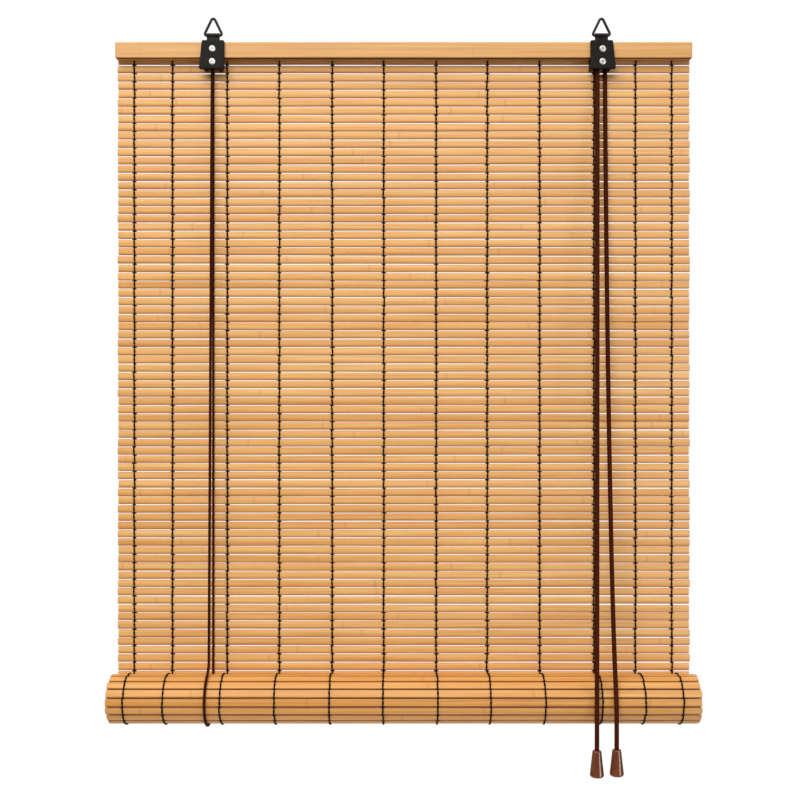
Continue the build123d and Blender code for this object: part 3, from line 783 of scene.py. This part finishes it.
def makeThreads(look):
    places = [*hangingPlaces, *rolledPlaces[:outerCount]]
    count = len(places)
    middle = np.array([(y, z) for y, z, out, down in places])
    out = np.array([out for y, z, out, down in places])
    down = np.array([down for y, z, out, down in places])
    shift = np.concatenate([hangingShift, rolledShift[:outerCount]])
    slope = np.concatenate([hangingSlope, rolledSlope[:outerCount]])
    # over one slat: how far down it each step lies, and how high the thread stands there
    part = np.arange(look["steps"]) / look["steps"]
    u = (part - 0.5) * blind["pitch"]
    fromGap = np.minimum(part, 1 - part) * blind["pitch"]
    dip = look["dipDepth"] * np.exp(-((fromGap / look["dipReach"]) ** 2))
    stand = blind["slatThickness"] / 2 + look["stand"] - look["crown"] * np.abs(2 * part - 1) ** 3
    rise = stand * (1 - dip)
    for number, threadX in enumerate([*look["left"], *look["right"]], 1):
        move = shift + slope * threadX / (blind["width"] / 2)
        wander = rng.normal(0, look["wander"], count)
        parts = []
        for side in (-1, 1):
            lean = 1 if (number + (side > 0)) % 2 else -1
            slant = look["slant"] * lean * rng.uniform(*look["slantPlay"], count)
            for ply in (0, math.pi):
                twist = 2 * math.pi * look["turns"] * (np.arange(count)[:, None] + part[None, :]) + ply
                x = threadX + wander[:, None] + slant[:, None] * (part - 0.5)[None, :]
                x = x + look["plyOffset"] * np.cos(twist)
                v = side * (rise[None, :] + look["plyDepth"] * look["plyOffset"] * np.sin(twist))
                w = u[None, :] + move[:, None]
                y = middle[:, 0:1] + w * down[:, 0:1] + v * out[:, 0:1]
                z = middle[:, 1:2] + w * down[:, 1:2] + v * out[:, 1:2]
                parts.append(plyPart(np.stack([x, y, z], axis=-1).reshape(-1, 3), look))
        for i in range(count):
            # the knot lies in the gap above the slat
            here = middle[i] - down[i] * blind["pitch"] / 2 + down[i] * move[i]
            if i:
                before = middle[i - 1] + down[i - 1] * (blind["pitch"] / 2 + move[i - 1])
                here = (here + before) / 2
            axes = [xAxis, np.array([0, *down[i]]), np.array([0, *out[i]])]
            spot = np.array([threadX + wander[i], here[0], here[1]])
            size = rng.uniform(*look["knotPlay"])
            # beside each knot a flat dark lump of thread stands for the knot's shadow in the gap, a painted
            # shadow
            for lump in (look["knot"], look["shadowTick"]):
                parts.append(ballPart(spot, axes, size, lump))
        verts, faces = joinParts(parts)
        piece = newPiece(f"warpThread{number:02d}", verts, faces, darkThread)
        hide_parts(f"warp_thread_{number:02d}")


makeThreads(threadLook)
print("threads made")

# Pull cords: free cords from the splices in the right housing to the toggles
leftPullCord = {
    "name": "leftPullLine",
    "route": [(0.202, 0.0049, -0.0477), (0.1924, -0.04416, -0.70385), (0.1922, -0.04416, -0.7585)],
    "diameter": 0.0046,
    "length": 0.7127,
    "replaces": "left_pull_cord",
    "with": ["left_toggle", "left_pull_knot"],
}
rightPullCord = {
    "name": "rightPullLine",
    "route": [
        (0.2106, 0.009, -0.0491),
        (0.21078, 0.00791, -0.10741),
        (0.21096, 0.00638, -0.16571),
        (0.21115, 0.00416, -0.22726),
        (0.21134, 0.00153, -0.2888),
        (0.21152, -0.00148, -0.34711),
        (0.21171, -0.00534, -0.40866),
        (0.21189, -0.00964, -0.46696),
        (0.21208, -0.01498, -0.52851),
        (0.21226, -0.02106, -0.58682),
        (0.21242, -0.02813, -0.63864),
        (0.21253, -0.0349, -0.67428),
        (0.2126, -0.04044, -0.69695),
        (0.2126, -0.041, -0.71885),
        (0.2126, -0.041, -0.7585),
    ],
    "diameter": 0.0046,
    "length": 0.7121,
    "replaces": "right_pull_cord",
    "with": ["right_toggle", "right_pull_knot"],
}


def makePullCord(look):
    data = bpy.data.curves.new(look["name"], "CURVE")
    data.dimensions = "3D"
    spline = data.splines.new("NURBS")
    spline.points.add(len(look["route"]) - 1)
    for point, place in zip(spline.points, look["route"]):
        point.co = (*place, 1)
    spline.order_u = 3
    spline.use_endpoint_u = True
    data.resolution_u = 16
    data.bevel_depth = look["diameter"] / 2
    data.bevel_resolution = 6
    data.use_fill_caps = True
    data.materials.append(pullBraid)
    piece = bpy.data.objects.new(look["name"], data)
    bpy.context.scene.collection.objects.link(piece)
    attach(piece, "blind")
    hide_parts(look["replaces"])


makePullCord(leftPullCord)
makePullCord(rightPullCord)
print("pull cords made")

# Materials on the pieces that keep their built shape
finishes = {
    "head_rail": railBamboo,
    "bottom_bar": barWood,
    "panel_nails": plainSteel,
    "cord_clips": plainSteel,
    "wheel_spacer": plainSteel,
    "wheel_nut": plainSteel,
    "sling_wheel": whiteNylon,
    "left_lift_cord": liftBraid,
    "right_lift_cord": liftBraid,
    "left_stay_cord": liftBraid,
}
for end in ("left", "right"):
    finishes[f"{end}_ring"] = ringWire
    finishes[f"{end}_strap"] = strapPaint
    finishes[f"{end}_cover"] = coverPaint
    finishes[f"{end}_housing"] = housingPlastic
    finishes[f"{end}_screws"] = screwZinc
    finishes[f"{end}_cord_wheel"] = whiteNylon
    finishes[f"{end}_wheel_pin"] = plainSteel
    finishes[f"{end}_toggle"] = toggleWood
    finishes[f"{end}_pull_knot"] = pullBraid
for name, material in finishes.items():
    nodes[name].data.materials.clear()
    nodes[name].data.materials.append(material)
print("built pieces dressed")

# Stage, light and camera
paleFloor = {"z": -1.12, "radius": 0.62, "sides": 96, "colour": (0.86, 0.855, 0.84), "rough": 0.9}


def makeFloor(look):
    turns = np.arange(look["sides"]) / look["sides"] * 2 * math.pi
    ring = [(look["radius"] * math.cos(t), look["radius"] * math.sin(t), look["z"]) for t in turns]
    mesh = bpy.data.meshes.new("paleFloor")
    mesh.from_pydata(ring, [], [list(range(len(ring)))])
    material, tree, shader, place = newMaterial("paleFloor")
    shader.inputs["Base Color"].default_value = (*look["colour"], 1)
    shader.inputs["Roughness"].default_value = look["rough"]
    mesh.materials.append(material)
    floor = bpy.data.objects.new("paleFloor", mesh)
    bpy.context.scene.collection.objects.link(floor)


makeFloor(paleFloor)

# the sky looks white to the camera and fills the rest softly, brighter from above
skyLook = {"low": -0.6, "high": 0.9, "dark": 0.12, "bright": 0.86, "seen": 1.0}
world = bpy.data.worlds.new("studio")
bpy.context.scene.world = world
world.use_nodes = True
worldTree = world.node_tree
sky = worldTree.nodes["Background"]
skyPlace = put(worldTree, "TexCoord").outputs["Generated"]
skyUp = put(worldTree, "SeparateXYZ", {0: skyPlace}).outputs[2]
skyFill = between(worldTree, skyUp, skyLook["low"], skyLook["high"], skyLook["dark"], skyLook["bright"])
seen = put(worldTree, "LightPath").outputs["Is Camera Ray"]
skyLevel = put(worldTree, "Mix", {0: seen, 2: skyFill, 3: skyLook["seen"]}, data_type="FLOAT").outputs[0]
sky.inputs["Color"].default_value = (1, 1, 1, 1)
worldTree.links.new(skyLevel, sky.inputs["Strength"])

# the strip shows only in reflections, as the upright highlight on the toggles
lights = [
    {
        "name": "keyPanel",
        "at": (-0.6, -1.75, 1.3),
        "size": (1.8, 1.4),
        "power": 41.5,
        "colour": (1, 0.985, 0.96),
        "glossOnly": False,
    },
    {
        "name": "sidePanel",
        "at": (1.7, -1.5, 0.1),
        "size": (1.2, 1.6),
        "power": 5,
        "colour": (1, 0.99, 0.98),
        "glossOnly": False,
    },
    {
        "name": "backPanel",
        "at": (0.5, 1.9, 0.5),
        "size": (1.8, 1.4),
        "power": 8,
        "colour": (1, 1, 1),
        "glossOnly": False,
    },
    {
        "name": "stripPanel",
        "at": (1.3, -0.95, -0.6),
        "size": (0.3, 1.3),
        "power": 18,
        "colour": (1, 1, 1),
        "glossOnly": True,
    },
]
target = Vector((0, 0, -0.4))
for light in lights:
    lamp = bpy.data.lights.new(light["name"], "AREA")
    lamp.shape = "RECTANGLE"
    lamp.size, lamp.size_y = light["size"]
    lamp.energy = light["power"]
    lamp.color = light["colour"]
    holder = bpy.data.objects.new(light["name"], lamp)
    holder.location = light["at"]
    holder.rotation_euler = (target - Vector(light["at"])).to_track_quat("-Z", "Y").to_euler()
    holder.visible_diffuse = not light["glossOnly"]
    bpy.context.scene.collection.objects.link(holder)

view = {
    "at": (-0.0039, -1.0888, -0.3942),
    "tilt": 90,
    "lens": 47.2,
    "sensor": 36.0,
    "near": 0.02,
    "far": 60,
}
cameraData = bpy.data.cameras.new("frontCamera")
cameraData.lens = view["lens"]
cameraData.sensor_width = view["sensor"]
cameraData.clip_start = view["near"]
cameraData.clip_end = view["far"]
camera = bpy.data.objects.new("frontCamera", cameraData)
camera.location = view["at"]
camera.rotation_euler = (math.radians(view["tilt"]), 0, 0)
bpy.context.scene.collection.objects.link(camera)
bpy.context.scene.camera = camera
bpy.context.scene.view_settings.view_transform = "Standard"
print("stage, light and camera made")
